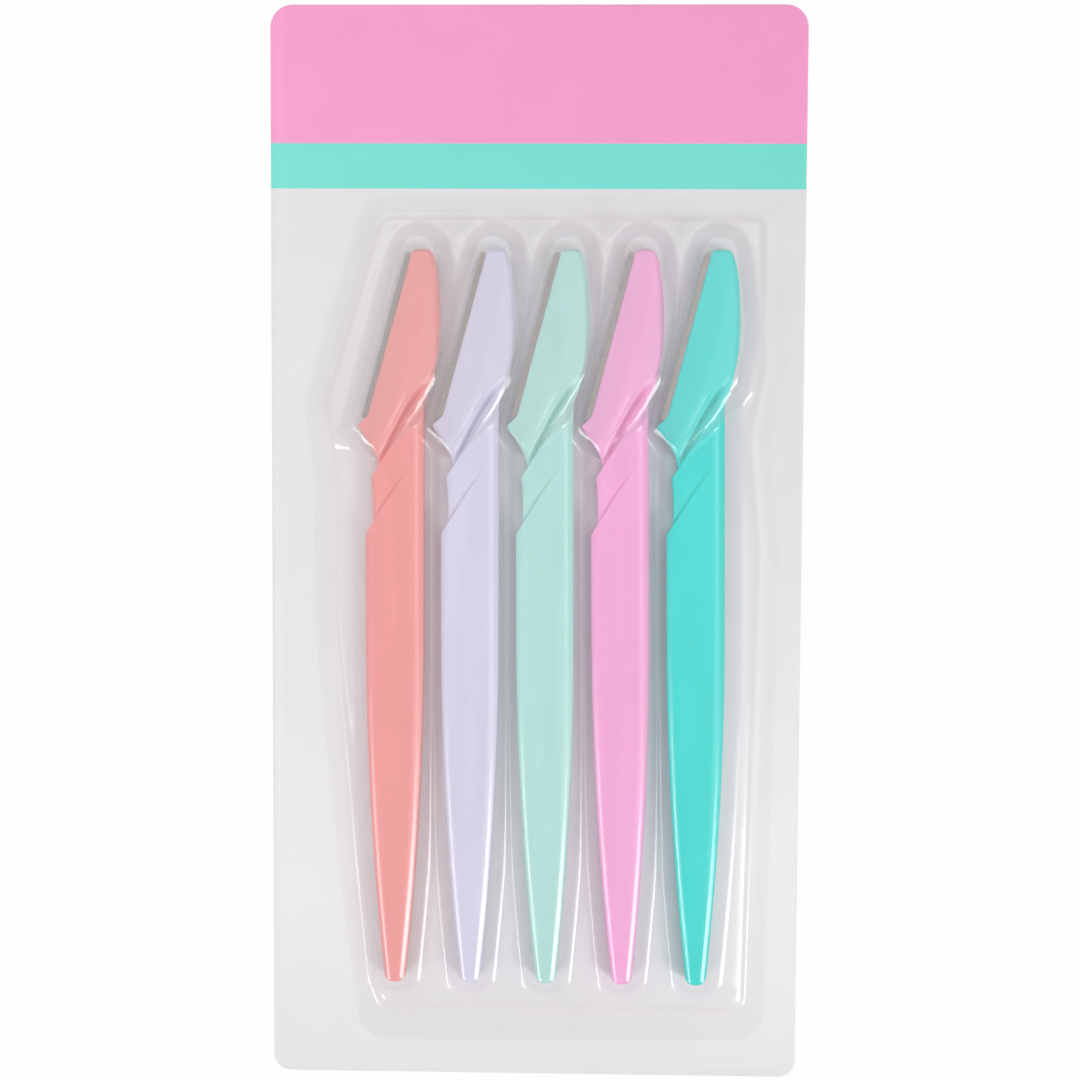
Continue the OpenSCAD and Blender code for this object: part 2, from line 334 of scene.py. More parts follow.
def half_at(y):
    """Half the grip's width at a height above the tail's end."""
    share = np.clip(1 - (y - tail_half) / taper_l, 0, 1)
    inward = np.clip(1 - (y - tail_start) / tail_end, 0, 1)
    round_end = (1 - inward ** 2.15) ** (1 / 2.15)
    return (tail_half + (half_w - tail_half) * (1 - share * share)) * round_end


def right_of(y, zone):
    """The razor's right side, alike in all zones: the grip's, and above the neck the head's bowed back."""
    back = np.interp(y, back_points[:, 1], back_points[:, 0])
    return np.where(y < back_points[0, 1], half_at(y), back)


def heel_side(y):
    """Left side of the heel, from the neck up to its point."""
    share = np.clip((y - neck[1]) / (heel[1] - neck[1]), 0, 1.2)
    return neck[0] + (heel[0] - neck[0]) * share ** 1.5


def left_of(y, zone):
    """The razor's left side in one of its four zones, from the grip to the head."""
    if zone == 0:
        return -half_at(y)
    if zone == 1:
        return -band_half - band_bow * ((y - 98) / 6) ** 2
    if zone == 2:
        return soft_max(heel_side(y), (y - heel_row - 0.02) / heel_slope, 0.6)
    past = np.clip(y - (razor_l - tip_r), 0, tip_r)
    corner = tip_r - np.sqrt(tip_r ** 2 - past ** 2)
    return edge_start[0] + (y - edge_start[1]) * math.tan(blade_turn) + corner


def row_slope(row):
    """Slope of a row of points: level on the grip, along the steps at the neck, level at the tip."""
    rise = seam_slope * ease(row, 58, 99)
    fall = np.interp(row, (upper_seam + 1, heel_row, 147.0), (seam_slope, heel_slope, 0.0))
    return float(np.where(row > upper_seam + 1, fall, rise))


def row_end(side, row, slope, zone, low, high):
    """Where a sloping row meets one side of the razor."""
    for _ in range(40):
        middle = (low + high) / 2
        if middle < side(row + slope * middle, zone):
            low = middle
        else:
            high = middle
    return (low + high) / 2


def groove(x, y, start, end, width, depth):
    """A soft groove between two points, which fades at its ends."""
    start, end = np.array(start), np.array(end)
    run = (end - start) / np.linalg.norm(end - start)
    along = (x - start[0]) * run[0] + (y - start[1]) * run[1]
    across = (x - start[0]) * run[1] - (y - start[1]) * run[0]
    length = np.linalg.norm(end - start)
    fade = ease(along, -0.4, 1.6) * (1 - ease(along, length - 2.2, length + 0.4))
    return depth * np.exp(-(across / width) ** 2) * fade


def rounding(distance, radius):
    """How far a round edge drops at a distance in from the side."""
    inside = np.clip(radius - distance, 0, radius)
    return radius - np.sqrt(radius ** 2 - inside ** 2)


def bevel(distance, width):
    """How far the bevelled edge of the grip drops at a distance in from the side."""
    share = 1 - distance / width
    ramp = (share + np.sqrt(share * share + 0.03)) / 2
    return edge_drop * np.minimum(ramp, 1.03) + 0.1 * np.clip(1 - distance / 0.15, 0, 1) ** 2


def from_sides(x, y, zone):
    """Distances in from the left and the right side."""
    left = heel_side(y) if zone == 2 else left_of(y, zone)
    return np.maximum(x - left, 0), np.maximum(right_of(y, zone) - x, 0)


def top_of(x, y, row, zone):
    """Height of the razor's upper face."""
    from_left, from_right = from_sides(x, y, zone)
    if zone < 2:
        base = handle_t
        if zone == 1:
            past = (row - lower_seam) / math.hypot(1, seam_slope)
            fade = 1 - ease(x, -1.5, 3.6)
            wall = 0.15 + 0.3 * fade
            dip = neck_step * (0.75 + 0.65 * np.exp(-np.maximum(past - wall, 0)))
            base = handle_t - dip * fade * np.minimum(past / wall, 1)
        width = edge_bevel * np.minimum(1, half_at(y) / 3.2)
        return base - bevel(np.minimum(np.minimum(from_left, from_right), y - tail_start), width)
    across, along = to_blade(x, y)
    ridge = rib_start - rib_bow * (along - rib_middle) ** 2
    facet = lip_z + (crest_z - lip_z) * across / ridge
    rib = crest_z + 0.02 - rib_fall * (across - ridge)
    base = soft_min(facet, rib, 0.2)
    base = base - groove(x, y, *heel_groove)
    past = (row - upper_seam) / math.hypot(1, seam_slope)
    valley = 0.25 + valley_depth * ease(x, -3.8, 0.0) * (1 - ease(x, 4.2, 6.0))
    wall = 0.25 + 1.3 * ease(x, -3.0, 3.5)
    base = base - valley * (1 - ease(past, wall, wall + 1.4))
    if zone == 2:
        base = base - rounding(from_left, side_round) - rounding(from_right, side_round)
        band = top_of(x, y, upper_seam, 1)
        return band + (base - band) * np.clip(past / wall, 0, 1)
    from_tip = np.maximum(razor_l - y, 0)
    return base - rounding(from_left, 0.25) - rounding(soft_min(from_right, from_tip, 0.8), rim_round)


def under_of(x, y, row, zone):
    """Height of the razor's underside: the grip and the neck are alike on both faces."""
    if zone < 2:
        return handle_t - top_of(x, y, row, zone)
    from_left, from_right = from_sides(x, y, zone)
    nearest = np.minimum(np.minimum(from_left, from_right), np.maximum(razor_l - y, 0))
    return cover_z + rounding(nearest, 0.4)


def spread(*stops):
    """Rows between stops given as (end, number of steps), starting at the first stop's end."""
    rows = [stops[0][0]]
    for end, steps in stops[1:]:
        rows += list(np.linspace(rows[-1], end, steps + 1)[1:])
    return rows


tail_rows = [tail_start + tail_end * (1 - math.cos(math.radians(turn))) for turn in range(10, 90, 10)]
step_face = 0.03
zones = (
    tail_rows
    + spread((tail_start + tail_end, 0), (60, 40), (98, 38), (lower_seam - 0.3, 6), (lower_seam, 2)),
    spread((lower_seam + step_face, 0), (lower_seam + 1, 6), (upper_seam - 0.4, 18), (upper_seam, 2)),
    spread((upper_seam + step_face, 0), (upper_seam + 1.2, 8), (118, 26), (heel_row, 10)),
    spread((heel_row + step_face, 0), (heel_row + 0.6, 3), (146, 48))
    + [razor_l - 4 * (1 - math.sin(math.radians(turn))) for turn in range(6, 91, 6)])
edge_columns = np.array((0, 0.04, 0.1, 0.2, 0.35, 0.55, 0.8, 1.05, 1.2, 1.35, 1.55, 1.9, 2.4))
middle_columns = 12


def handle_mesh():
    """The handle as a row of closed loops from the tail to the tip, with its recess cut out."""
    points = []
    rows = 0
    for zone, zone_rows in enumerate(zones):
        end_row = zone_rows[-1]
        jump = 0.0
        if zone < 3:
            end_slope = row_slope(end_row)
            jump = (row_end(left_of, end_row, end_slope, zone + 1, -12.0, 4.0)
                    - row_end(left_of, end_row, end_slope, zone, -12.0, 4.0))
        for row in zone_rows:
            slope = row_slope(row)
            left = row_end(left_of, row, slope, zone, -12.0, 4.0)
            right = row_end(right_of, row, slope, zone, left, 12.0)
            squeeze = min(1, (right - left) / 2 / 2.9)
            stretch = 1 + jump / edge_columns[-1] * ease(row, end_row - 4.0, end_row)
            first = left + edge_columns * squeeze * stretch
            last = right - edge_columns[::-1] * squeeze
            x = np.concatenate((first, np.linspace(first[-1], last[0], middle_columns + 2)[1:-1], last))
            y = row + slope * x
            upper = top_of(x, y, row, zone)
            under = under_of(x, y, row, zone)
            points += list(zip(x, y, upper)) + list(zip(x[::-1], y[::-1], under[::-1]))
            rows += 1
    across = len(edge_columns) * 2 + middle_columns
    faces = ring_faces(rows, 2 * across)
    for start in (0, (rows - 1) * 2 * across):
        for column in range(across - 1):
            opposite = 2 * across - 1 - column
            faces.append((start + column, start + column + 1, start + opposite - 1, start + opposite))
    whole = mesh_of("handle", points, faces)
    slot_end = cover_low - fit_gap
    cuts = [prism("slot", blade_outline(fit_gap), blade_z, roof_z),
            prism("recess", cover_outline(fit_gap), cover_z - 1, blade_z + 0.01),
            prism("open_side", [from_blade(-9, slot_end), from_blade(0.02, slot_end),
                                from_blade(0.02, edge_l + 1), from_blade(-9, edge_l + 1)],
                  cover_z - 1, blade_z + 0.01)]
    return cut_out(whole, cuts, 32)


def blade_outline(grow):
    """Flat outline of the blade, with its inner corner cut off at the tip."""
    low, high = blade_low - grow, blade_high + grow
    corners = ((-blade_out - grow, low - blade_out), (blade_end_in + grow, low - blade_out),
               (blade_end_in + grow, low), (blade_in + grow, low),
               (blade_in + grow, edge_l - blade_in + grow), (0, high), (-blade_out - grow, high))
    return [from_blade(*corner) for corner in corners]


def cover_outline(grow):
    """Flat outline of the cover, which narrows with the head."""
    low, high = cover_low - grow, cover_high + grow
    return [from_blade(-grow, low), from_blade(half_w * 1.05 + grow, low),
            from_blade(3.55 + grow, high), from_blade(-grow, high)]


def prism(name, outline, low, high):
    """An upright solid over an outline."""
    count = len(outline)
    points = [(x, y, low) for x, y in outline] + [(x, y, high) for x, y in outline]
    faces = ring_faces(2, count) + [tuple(range(count)), tuple(range(count, 2 * count))]
    return mesh_of(name, points, faces)


def applied(made):
    """The mesh of an object with its modifiers applied."""
    graph = bpy.context.evaluated_depsgraph_get()
    graph.update()
    return bpy.data.meshes.new_from_object(made.evaluated_get(graph))


def cut_out(mesh, cutters, sharp):
    """The mesh with the cutters' solids taken out of it."""
    whole = bpy.data.objects.new("whole", mesh)
    scene.collection.objects.link(whole)
    helpers = [whole]
    for cutter in cutters:
        helper = bpy.data.objects.new("cutter", cutter)
        scene.collection.objects.link(helper)
        modifier = whole.modifiers.new("cut", "BOOLEAN")
        modifier.operation = "DIFFERENCE"
        modifier.solver = "EXACT"
        modifier.object = helper
        helpers.append(helper)
    result = applied(whole)
    for helper in helpers:
        bpy.data.objects.remove(helper)
    return smoothed(result, sharp)


pin_r = 0.7
pin_sides = 20
pin_places = [from_blade(1.79, along) for along in (edge_l * 0.18, edge_l * 0.82)]


def round_outline(middle, radius, count):
    """Points round a circle."""
    return [(middle[0] + radius * math.cos(2 * math.pi * k / count),
             middle[1] + radius * math.sin(2 * math.pi * k / count)) for k in range(count)]


def pin_mesh(middle):
    """A moulded pin whose lower end is pressed into a low round head under the cover."""
    rings = ((0.25, 0.62), (0.7, 0.66), (0.95, 0.76), (1.0, cover_z),
             (pin_r, cover_z), (pin_r, roof_z + 0.1))
    points = []
    for radius, height in rings:
        points += [(x, y, height) for x, y in round_outline(middle, radius, pin_sides)]
    faces = ring_faces(len(rings), pin_sides)
    faces += [tuple(range(pin_sides)), tuple(range(len(points) - pin_sides, len(points)))]
    return mesh_of("pin", points, faces)


def joined(meshes, sharp):
    """One mesh that holds several closed ones."""
    shape = bmesh.new()
    for mesh in meshes:
        shape.from_mesh(mesh)
    result = bpy.data.meshes.new("joined")
    shape.to_mesh(result)
    shape.free()
    return smoothed(result, sharp)


def on_card(mesh, index):
    """A copy of a razor's piece at its place on the card, turned a little about the razor's middle."""
    copy = mesh.copy()
    middle = Matrix.Translation((0, razor_l / 2 * MM, 0))
    turn = Matrix.Rotation(math.radians(razor_turns[index]), 4, "Z")
    place = ((set_shift + (index - 2) * razor_pitch) * MM, set_y * MM, card_t * MM)
    copy.transform(Matrix.Translation(place) @ middle @ turn @ middle.inverted())
    return copy


def satin_plastic(name, rgb):
    """Moulded plastic with faint flow marks, a fine satin grain and slightly paler rubbed spots."""
    material, nodes, links, surface = new_material(name)
    flow = noise_node(nodes, links, place_node(nodes, links, (1, 0.12, 1)), 0.35, 2.0)
    deep = [c * 0.985 for c in rgb]
    pale = [min(255, c * 1.01) for c in rgb]
    colour = mix_node(nodes, links, range_node(nodes, links, flow, 0.0, 1.0), linear(deep), linear(pale))
    links.new(colour, surface.inputs["Base Color"])
    surface.inputs["Subsurface Weight"].default_value = 0.25
    surface.inputs["Subsurface Radius"].default_value = (1, 1, 1)
    surface.inputs["Subsurface Scale"].default_value = 1.2 * MM
    grain = noise_node(nodes, links, place_node(nodes, links), 9.0, 3.0)
    links.new(range_node(nodes, links, grain, 0.3, 0.4), surface.inputs["Roughness"])
    links.new(bump_node(nodes, links, grain, 0.12, 0.01), surface.inputs["Normal"])
    surface.inputs["Specular IOR Level"].default_value = 0.55
    return material


def add_to_razors(kind, mesh, materials, slots, node_kind):
    """One like piece on each of the five razors."""
    for index, name in enumerate(razor_names):
        add_piece(name + "_razor_" + kind, on_card(mesh, index), materials[index],
                  name + "_razor", slots[index], name + "_" + node_kind)


plastic_slots = [name + "_plastic" for name in razor_names]
plastics = [satin_plastic(name, rgb) for name, rgb in zip(plastic_slots, razor_colours)]
handle = joined([handle_mesh()] + [pin_mesh(place) for place in pin_places], 32)
add_to_razors("handle", handle, plastics, plastic_slots, "handle")


# Blades
# A strip of hard stainless steel, stamped with two holes for the pins and one corner cut off.
# Its free long side is ground on both faces to the cutting edge.
blade_t = 0.2
grind_w = 0.6
hole_sides = 24


def brushed_steel(name, rgb, rough):
    """Rolled steel with fine lines along the blade."""
    material, nodes, links, surface = new_material(name)
    lines = noise_node(nodes, links, place_node(nodes, links, (14, 0.5, 1), blade_turn), 1.0, 2.0)
    deep = [c * 0.86 for c in rgb]
    colour = mix_node(nodes, links, range_node(nodes, links, lines, 0.0, 1.0), linear(deep), linear(rgb))
    links.new(colour, surface.inputs["Base Color"])
    links.new(range_node(nodes, links, lines, rough - 0.06, rough + 0.08), surface.inputs["Roughness"])
    links.new(bump_node(nodes, links, lines, 0.3, 0.01), surface.inputs["Normal"])
    surface.inputs["Metallic"].default_value = 1.0
    return material


def pin_holes():
    """Upright cutters for the two holes that the pins go through."""
    outlines = [round_outline(place, pin_r + fit_gap, hole_sides) for place in pin_places]
    return [prism("hole", outline, 0, handle_t) for outline in outlines]


def blade_mesh():
    """The strip as loops along its length, with the ground edge on one side and the cut corner."""
    corner = edge_l - blade_in
    points = []
    stops = np.concatenate(((blade_low - blade_out, blade_low - 0.01), np.linspace(blade_low, corner, 20),
                            np.linspace(corner, blade_high, 10)[1:]))
    for along in stops:
        reach = blade_in - max(0.0, along - corner) * blade_in / (blade_high - corner)
        reach = reach if along >= blade_low else blade_end_in
        loop = ((-blade_out, 0.01), (-blade_out + grind_w, blade_t / 2), (reach, blade_t / 2),
                (reach, -blade_t / 2), (-blade_out + grind_w, -blade_t / 2), (-blade_out, -0.01))
        for across, rise in loop:
            x, y = from_blade(across, along)
            points.append((x, y, blade_z + blade_t / 2 + rise))
    faces = ring_faces(len(stops), 6)
    faces += [tuple(range(6)), tuple(range(len(points) - 6, len(points)))]
    return cut_out(mesh_of("blade", points, faces, 8), pin_holes(), 8)


blade_steel = brushed_steel("blade_steel", (168, 160, 157), 0.34)
steel_slots = ["steel"] * 5
add_to_razors("blade", blade_mesh(), [blade_steel] * 5, steel_slots, "blade")


# Comb guards
# A thin steel strip that lies on the blade, with a row of small blunt teeth over the edge.
# The teeth keep skin off the edge and let only hairs through.
guard_t = 0.15
tooth_pitch = 0.9
tooth_w = 0.5
tooth_reach = 1.25
tooth_root = 0.3


def comb_tree():
    """Nodes that set one row of like teeth along Y."""
    tree = bpy.data.node_groups.new("comb_teeth", "GeometryNodeTree")
    tree.is_modifier = True
    face = tree.interface
    face.new_socket("Geometry", in_out="INPUT", socket_type="NodeSocketGeometry")
    for name, kind in (("Teeth", "Int"), ("Pitch", "Float"), ("Size", "Vector"), ("Steel", "Material")):
        face.new_socket(name, in_out="INPUT", socket_type="NodeSocket" + kind)
    face.new_socket("Geometry", in_out="OUTPUT", socket_type="NodeSocketGeometry")
    nodes, links = tree.nodes, tree.links
    start = nodes.new("NodeGroupInput")
    end = nodes.new("NodeGroupOutput")
    row = nodes.new("GeometryNodeMeshLine")
    step = nodes.new("ShaderNodeCombineXYZ")
    tooth = nodes.new("GeometryNodeMeshCube")
    tooth.inputs["Vertices X"].default_value = 4
    tooth.inputs["Vertices Y"].default_value = 4
    put = nodes.new("GeometryNodeInstanceOnPoints")
    real = nodes.new("GeometryNodeRealizeInstances")
    finish = nodes.new("GeometryNodeSetMaterial")
    links.new(start.outputs["Teeth"], row.inputs["Count"])
    links.new(start.outputs["Pitch"], step.inputs["Y"])
    links.new(step.outputs["Vector"], row.inputs["Offset"])
    links.new(start.outputs["Size"], tooth.inputs["Size"])
    links.new(row.outputs["Mesh"], put.inputs["Points"])
    links.new(tooth.outputs["Mesh"], put.inputs["Instance"])
    links.new(put.outputs["Instances"], real.inputs["Geometry"])
    links.new(real.outputs["Geometry"], finish.inputs["Geometry"])
    links.new(start.outputs["Steel"], finish.inputs["Material"])
    links.new(finish.outputs["Geometry"], end.inputs["Geometry"])
    return tree


def made_by(tree, values):
    """The mesh that a node tree makes with the values of its named inputs."""
    maker = bpy.data.objects.new("maker", bpy.data.meshes.new("maker"))
    scene.collection.objects.link(maker)
    modifier = maker.modifiers.new("make", "NODES")
    modifier.node_group = tree
    sockets = {item.name: item.identifier for item in tree.interface.items_tree if item.in_out == "INPUT"}
    for name, value in values.items():
        modifier[sockets[name]] = value
    mesh = applied(maker)
    maker.modifiers.remove(modifier)
    bpy.data.objects.remove(maker)
    return mesh


guard_steel = brushed_steel("guard_steel", (162, 154, 151), 0.38)


def guard_mesh():
    """The comb: its teeth from the node tree, tapered and rounded, and the strip that carries them."""
    teeth = int((blade_high - blade_low - tooth_w) / tooth_pitch) + 2
    size = (tooth_reach + tooth_root, tooth_w, guard_t)
    comb = made_by(comb_tree(), {"Teeth": teeth, "Pitch": tooth_pitch * MM,
                                 "Size": [s * MM for s in size], "Steel": guard_steel})
    places = np.array([v.co for v in comb.vertices]) / MM
    index = np.round(places[:, 1] / tooth_pitch)
    from_middle = places[:, 1] - index * tooth_pitch
    out = 0.5 - places[:, 0] / size[0]
    width = 1 - 0.35 * ease(out, 0.45, 1.0) ** 2
    across = places[:, 0] - tooth_reach / 2 + tooth_root / 2
    along = blade_low + tooth_w / 2 + (index - 1) * tooth_pitch + from_middle * width
    x, y = from_blade(across, along)
    height = guard_z + guard_t / 2 + places[:, 2] * np.where(out > 0.95, 0.5, 1.0)
    for vertex, place in zip(comb.vertices, zip(x, y, height)):
        vertex.co = [c * MM for c in place]
    corners = ((-0.01, blade_low), (blade_in, blade_low), (blade_in, edge_l - blade_in),
               (0.15, blade_high), (-0.01, blade_high))
    strip = prism("strip", [from_blade(*corner) for corner in corners], guard_z, guard_z + guard_t)
    return joined([comb, cut_out(strip, pin_holes(), 30)], 30)


add_to_razors("guard", guard_mesh(), [guard_steel] * 5, steel_slots, "guard")


# Blade covers
# A moulded plate of the handle's own plastic that closes the head from below.
# It is pushed over the two pins, whose ends are then pressed flat.
cover_round = 0.18


def cover_mesh():
    """The plate with its pin holes and softly rounded edges."""
    whole = prism("cover", cover_outline(0), cover_z, blade_z)
    plate = bpy.data.objects.new("plate", cut_out(whole, pin_holes(), 30))
    scene.collection.objects.link(plate)
    modifier = plate.modifiers.new("round", "BEVEL")
    modifier.width = cover_round * MM
    modifier.segments = 3
    modifier.limit_method = "ANGLE"
    mesh = applied(plate)
    bpy.data.objects.remove(plate)
    return smoothed(mesh, 40)


add_to_razors("cover", cover_mesh(), plastics, plastic_slots, "blade_cover")


# Clear blister
# One sheet of clear plastic, drawn over a mould: a flange that is sealed to the card, a low step,
# and five pockets, each with a shallow channel over the handle and a deeper lobe over the head.
# The sheet's edge is die cut, and its bends are round because the sheet has thickness.
sheet_t = 0.33
flange_z = card_t + 0.36
step_z = 2.05
step_in = 4.6
step_low_y = -95.2
step_run = 1.3
step_soft = 0.55
step_corner = 3.5
flange_r = 7.0
channel = {"top": 5.7, "crease": -0.2, "foot": 2.5, "soft": 2.6, "foot_soft": 1.8}
lobe = {"top": 7.8, "crease": 0.8, "foot": 3.9, "soft": 1.3, "foot_soft": 1.1}
# Painted shade: the sheet lets through a little less light, in faint mauve, where it is seen slantwise on
# its walls, to darken the valleys between razors.
painted_wall_shade = (0.985, 0.968, 0.977, 1)
sheet_shine = 0.065
sheet_side_shine = 0.35
drawn_haze = 0.04
wall_haze = 0.07
tail_room = 0.4
set_half_w = 2 * razor_pitch + half_w
flange_shares = (
    (-1.005, 1.147), (-1.36, 0.595), (-1.302, 0.408), (-1.3, -0.005), (-1.168, -0.672), (-1.04, -1.17),
    (1.245, -1.165), (1.276, -0.565), (1.306, 0.195), (1.25, 0.495), (1.325, 0.675), (1.32, 1.147))
lobe_corners = (
    (5.0, 104.0), (7.4, 124.2), (8.9, 130.5), (9.05, 136.5), (8.5, 142.5), (7.9, 147.5), (7.0, 151.4),
    (3.3, 151.6), (1.6, 148.6), (-6.9, 117.2), (-8.6, 110.0), (-7.0, 104.0))
lobe_low_edges = ((-8.1, 114.9, -2.3, 109.3), (-3.3, 110.5, 1.3, 114.8), (1.5, 114.1, 7.4, 124.0))
lobe_low_slopes = (0.5, 0.48, 0.95, 0.52, 0.52)
lobe_low_wall = 1.7
lobe_low_run = 1.3
lobe_low_wave = 0.12
right_foot = 0.9
ridge_foot = 0.75
unevenness = 0.018


def soften(points, rounds):
    """Corners of a closed outline cut off again and again, until it is round."""
    points = np.array(points)
    for _ in range(rounds):
        after = np.roll(points, -1, axis=0)
        cut = np.stack((0.78 * points + 0.22 * after, 0.22 * points + 0.78 * after), axis=1)
        points = cut.reshape(-1, 2)
    return points


def fillet(points, radius, steps=8):
    """A closed outline whose outer corners are arcs."""
    points = np.array(points)
    result = []
    for before, corner, after in zip(np.roll(points, 1, axis=0), points, np.roll(points, -1, axis=0)):
        back = (before - corner) / np.linalg.norm(before - corner)
        on = (after - corner) / np.linalg.norm(after - corner)
        outer = back[0] * on[1] - back[1] * on[0]
        half = math.acos(np.clip(np.dot(back, on), -1, 1)) / 2
        if outer > 0 or half > math.radians(87):
            result.append(corner)
            continue
        reach = radius / math.tan(half)
        start, end = corner + back * reach, corner + on * reach
        result += [bend(start, corner, end, t) for t in np.linspace(0, 1, steps)]
    return np.array(result)


def distance_to(x, y, outline):
    """Distance to a closed outline, below zero inside it."""
    best = np.full(x.shape, np.inf)
    inside = np.zeros(x.shape, bool)
    for start, end in zip(outline, np.roll(outline, -1, axis=0)):
        run = end - start
        share = ((x - start[0]) * run[0] + (y - start[1]) * run[1]) / np.dot(run, run)
        share = np.clip(share, 0, 1)
        gap = np.hypot(x - start[0] - share * run[0], y - start[1] - share * run[1])
        best = np.minimum(best, gap)
        if start[1] != end[1]:
            crosses = (start[1] > y) != (end[1] > y)
            inside ^= crosses & (x < start[0] + (y - start[1]) / run[1] * run[0])
    return np.where(inside, -best, best)


def pocket_height(distance, shape):
    """Height of one pocket at a distance from its outline: a flat top, a round bend and a sloping wall."""
    slope = (shape["top"] - step_z) / (shape["foot"] - shape["crease"])
    wall = shape["top"] - (distance - shape["crease"]) * slope
    return soft_min(np.full(distance.shape, shape["top"]), wall, shape["soft"])


def low_edge(x, y, index):
    """Height of the lobe's lower edge, which runs down to the neck from both sides and is a little wavy."""
    gaps = []
    for x1, y1, x2, y2 in lobe_low_edges:
        length = math.hypot(x2 - x1, y2 - y1)
        gaps.append(((x - x1) * (y2 - y1) - (y - y1) * (x2 - x1)) / length)
    gap = soft_max(soft_max(gaps[0], gaps[1], 0.6), gaps[2], 0.6)
    wave = np.sin(1.3 * (x + y) + 2.1 * index) * np.sin(0.9 * (x - y) + index)
    slope = lobe_low_slopes[index]
    upper = lobe["top"] - slope * (1 + lobe_low_wave * wave) * gap
    lower = lobe["top"] - slope * lobe_low_run - lobe_low_wall * (gap - lobe_low_run)
    return soft_min(soft_min(np.full(x.shape, lobe["top"]), upper, 0.25), lower, 0.3)


def razor_place(x, y, index):
    """A razor's own X and Y of a place on the card."""
    turn = math.radians(-razor_turns[index])
    x = x - set_shift - (index - 2) * razor_pitch
    y = y - set_y - razor_l / 2
    return x * math.cos(turn) - y * math.sin(turn), x * math.sin(turn) + y * math.cos(turn) + razor_l / 2


flange_corners = [(set_shift + a * set_half_w, set_y + razor_l / 2 * (1 + b)) for a, b in flange_shares]
flange_outline = fillet(flange_corners, flange_r)
grip_rows = np.concatenate((tail_rows, np.linspace(tail_start + tail_end, taper_l, 30), (118.0,)))
channel_outline = np.array([(half_at(y), y - tail_room) for y in grip_rows]
                           + [(-half_at(y), y - tail_room) for y in grip_rows[::-1]])
lobe_outline = soften(lobe_corners, 3)


def sheet_height(x, y):
    """Height of the sheet's outer face over the card."""
    edge = soft_max(distance_to(x, y, flange_outline) + step_in, step_low_y - y, step_corner)
    ramp = (step_z - flange_z) / step_run
    height = soft_min(np.full(x.shape, step_z), step_z - (edge + step_run / 2) * ramp, step_soft)
    height = soft_max(height, np.full(x.shape, flange_z), step_soft)
    for index in range(5):
        near_x, near_y = razor_place(x, y, index)
        over_handle = pocket_height(distance_to(near_x, near_y, channel_outline), channel)
        over_head = pocket_height(distance_to(near_x, near_y, lobe_outline), lobe)
        over_head = soft_min(over_head, low_edge(near_x, near_y, index), 0.15)
        channel_foot = channel["foot_soft"] + right_foot * ease(near_x, -1, 1)
        height = soft_max(height, over_handle, channel_foot)
        lobe_foot = lobe["foot_soft"] - ridge_foot * ease(over_handle, 4.5, 5.5)
        height = soft_max(height, over_head, lobe_foot)
    wave = np.sin(x * 0.31 + 1.7 * np.sin(y * 0.07)) * np.sin(y * 0.19 + 0.6 * np.sin(x * 0.23))
    return height + unevenness * wave * ease(height, flange_z + 0.1, step_z)


def plateau(y, index):
    """Left and right bend of one pocket's top at a height on the card."""
    near_y = razor_place(set_shift + (index - 2) * razor_pitch, y, index)[1]
    near = np.clip(near_y, 1.2, 150.5)
    deep = ease(near, 106, 113)
    deep_right = ease(near, 112, 121)
    lobe_left = np.interp(near, (109, 115.2, 148.6, 151), (-4.6, -8.3, 0.8, 2.6))
    lobe_right = np.interp(near, (118, 124.2, 130.5, 136.5, 142.5, 147.5, 151),
                           (5.6, 8.2, 9.7, 9.85, 9.3, 8.7, 7.6))
    half = half_at(np.minimum(near, 116)) - 0.35
    left = -half * (1 - deep) + lobe_left * deep
    right = half * (1 - deep_right) + lobe_right * deep_right
    turn = math.radians(razor_turns[index])
    shift = set_shift + (index - 2) * razor_pitch - (near - razor_l / 2) * math.sin(turn)
    return left + shift, right + shift


bend_columns = np.array((-0.85, -0.5, -0.2, 0.05, 0.3, 0.6, 1.0))
top_columns = 17
valley_columns = np.array((0.45, 0.85, 1.25, 1.65, 2.1, 2.7))
foot_columns = np.array((1.6, 2.3, 2.75, 3.1, 3.5, 4.1))
step_columns = np.array((1.5, 3.0, 3.9, 4.25, 4.6, 4.95, 5.3))


def row_of_sheet(y):
    """Places of the sheet's columns across one row, crowded at the bends."""
    inner = np.clip(y, set_y + 1.2, set_y + 150.5)
    low, high = flange_span(inner)
    bends = [plateau(inner, index) for index in range(5)]
    places = [low + np.concatenate(((0,), step_columns)), bends[0][0] - foot_columns[::-1]]
    for index, (left, right) in enumerate(bends):
        before = left - (bends[index - 1][1] if index else left - 6)
        after = (bends[index + 1][0] if index < 4 else right + 6) - right
        in_left = np.where(bend_columns < 0, bend_columns * min(1, before / 2.4), bend_columns)
        in_right = np.where(bend_columns < 0, bend_columns * min(1, after / 2.4), bend_columns)
        start, end = left + in_left, right - in_right[::-1]
        places += [start, np.linspace(start[-1], end[0], top_columns + 2)[1:-1], end]
        if index < 4:
            onward = bends[index + 1][0] + bend_columns[0] * min(1, after / 2.4)
            reach = valley_columns * min(1, (onward - end[-1]) / 6.4)
            places += [end[-1] + reach, onward - reach[::-1]]
    places += [bends[4][1] + foot_columns, high - np.concatenate((step_columns[::-1], (0,)))]
    places = np.concatenate(places)
    middle = len(places) // 2
    places[middle:] = np.maximum.accumulate(places[middle:] + 1e-4 * np.arange(len(places) - middle))
    places[:middle] = np.minimum.accumulate((places[:middle] - 1e-4 * np.arange(middle)[::-1])[::-1])[::-1]
    places = np.clip(places, low, high)
    share = (places - low) / (high - low)
    share = np.maximum.accumulate(share + 2e-4 * np.arange(len(share))) / (1 + 2e-4 * (len(share) - 1))
    low, high = flange_span(y)
    return low + share * (high - low)


